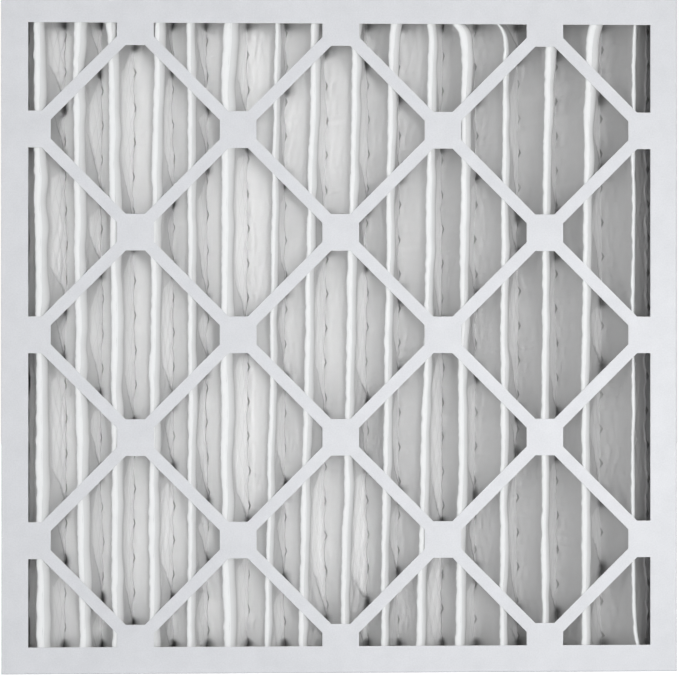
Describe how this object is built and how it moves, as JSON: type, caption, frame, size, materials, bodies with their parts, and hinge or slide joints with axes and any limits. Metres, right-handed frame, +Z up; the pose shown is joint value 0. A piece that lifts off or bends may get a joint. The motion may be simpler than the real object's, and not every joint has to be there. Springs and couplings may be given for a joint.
{
  "type": "pleated panel air filter",
  "caption": "Square throwaway panel filter: pleated white media between two folded board trays with a diagonal lattice, backed by expanded metal.",
  "frame": {"origin": "middle of the lower edge, on the surface that the filter stands on", "axes": "+X to the right seen from the air-entering face, +Y along the air stream, +Z up along the pleats"},
  "size_m": [0.4952, 0.0444, 0.4953],
  "materials": {
    "board": "matt clay-coated white board",
    "media": "soft non-woven fibre web",
    "grid_metal": "galvanised expanded metal",
    "glue": "set white glue"
  },
  "bodies": {
    "root": {"front_tray": "board", "rear_tray": "board", "pleated_media": "media", "support_grid": "grid_metal", "top_end_seal": "glue", "bottom_end_seal": "glue", "left_side_seal": "glue", "right_side_seal": "glue"}
  },
  "joints": []
}
